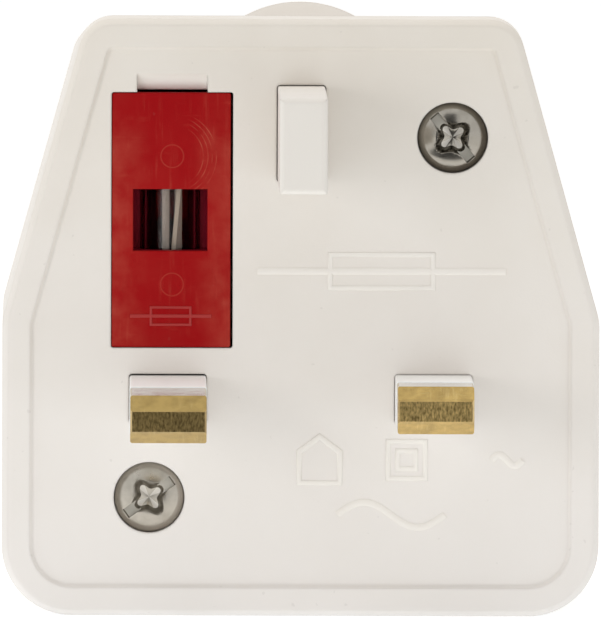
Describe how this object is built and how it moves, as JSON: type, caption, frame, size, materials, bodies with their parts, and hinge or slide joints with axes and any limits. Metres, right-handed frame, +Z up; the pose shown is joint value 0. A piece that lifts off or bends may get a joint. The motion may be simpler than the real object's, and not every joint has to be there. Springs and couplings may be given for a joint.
{
  "type": "travel adapter",
  "caption": "Fused travel adapter with flat blade pins, an off-white moulded housing, a red draw-out fuse carrier with a window and a shuttered round-pin socket behind.",
  "frame": {"origin": "middle of the flat foot, half way between the pin face and the rear face", "axes": "+Z up from the foot to the top pin, -Y the way the pins point, +X to the right seen from the pins"},
  "size_m": [0.05, 0.0605, 0.0506],
  "materials": {
    "housing_plastic": "moulded off-white, fine satin",
    "pin_plastic": "moulded white, satin",
    "pin_brass": "machined, worn",
    "carrier_plastic": "moulded red, satin gloss",
    "fuse_glass": "clear",
    "plated_metal": "nickel plated",
    "strip_brass": "rolled strip",
    "inner_plastic": "moulded, plain",
    "spring_steel": "bright strip",
    "screw_metal": "nickel plated, slightly dull"
  },
  "bodies": {
    "housing": {"base_plate": "housing_plastic", "rear_cover": "housing_plastic", "earth_pin": "pin_plastic", "live_pin": "pin_brass", "neutral_pin": "pin_brass", "live_pin_sleeve": "pin_plastic", "neutral_pin_sleeve": "pin_plastic", "live_pin_clip": "strip_brass", "live_link": "strip_brass", "neutral_strap": "strip_brass", "live_contact": "strip_brass", "neutral_contact": "strip_brass", "contact_holder": "inner_plastic", "shutter_spring": "spring_steel", "housing_screws": "screw_metal"},
    "fuse_drawer": {"fuse_carrier": "carrier_plastic", "fuse_tube": "fuse_glass", "fuse_cap_upper": "plated_metal", "fuse_cap_lower": "plated_metal", "fuse_wire": "plated_metal"},
    "shutter": {"shutter": "inner_plastic"}
  },
  "joints": [
    {"name": "fuse_drawer_slide", "type": "slide", "parent": "housing", "child": "fuse_drawer", "axis": [0, -1, 0], "range_m": [0, 0.014]},
    {"name": "shutter_slide", "type": "slide", "parent": "housing", "child": "shutter", "axis": [0, 0, 1], "range_m": [0, 0.006], "stiffness_N_per_m": 80, "springref_m": -0.003, "deforming": ["shutter_spring"]}
  ]
}
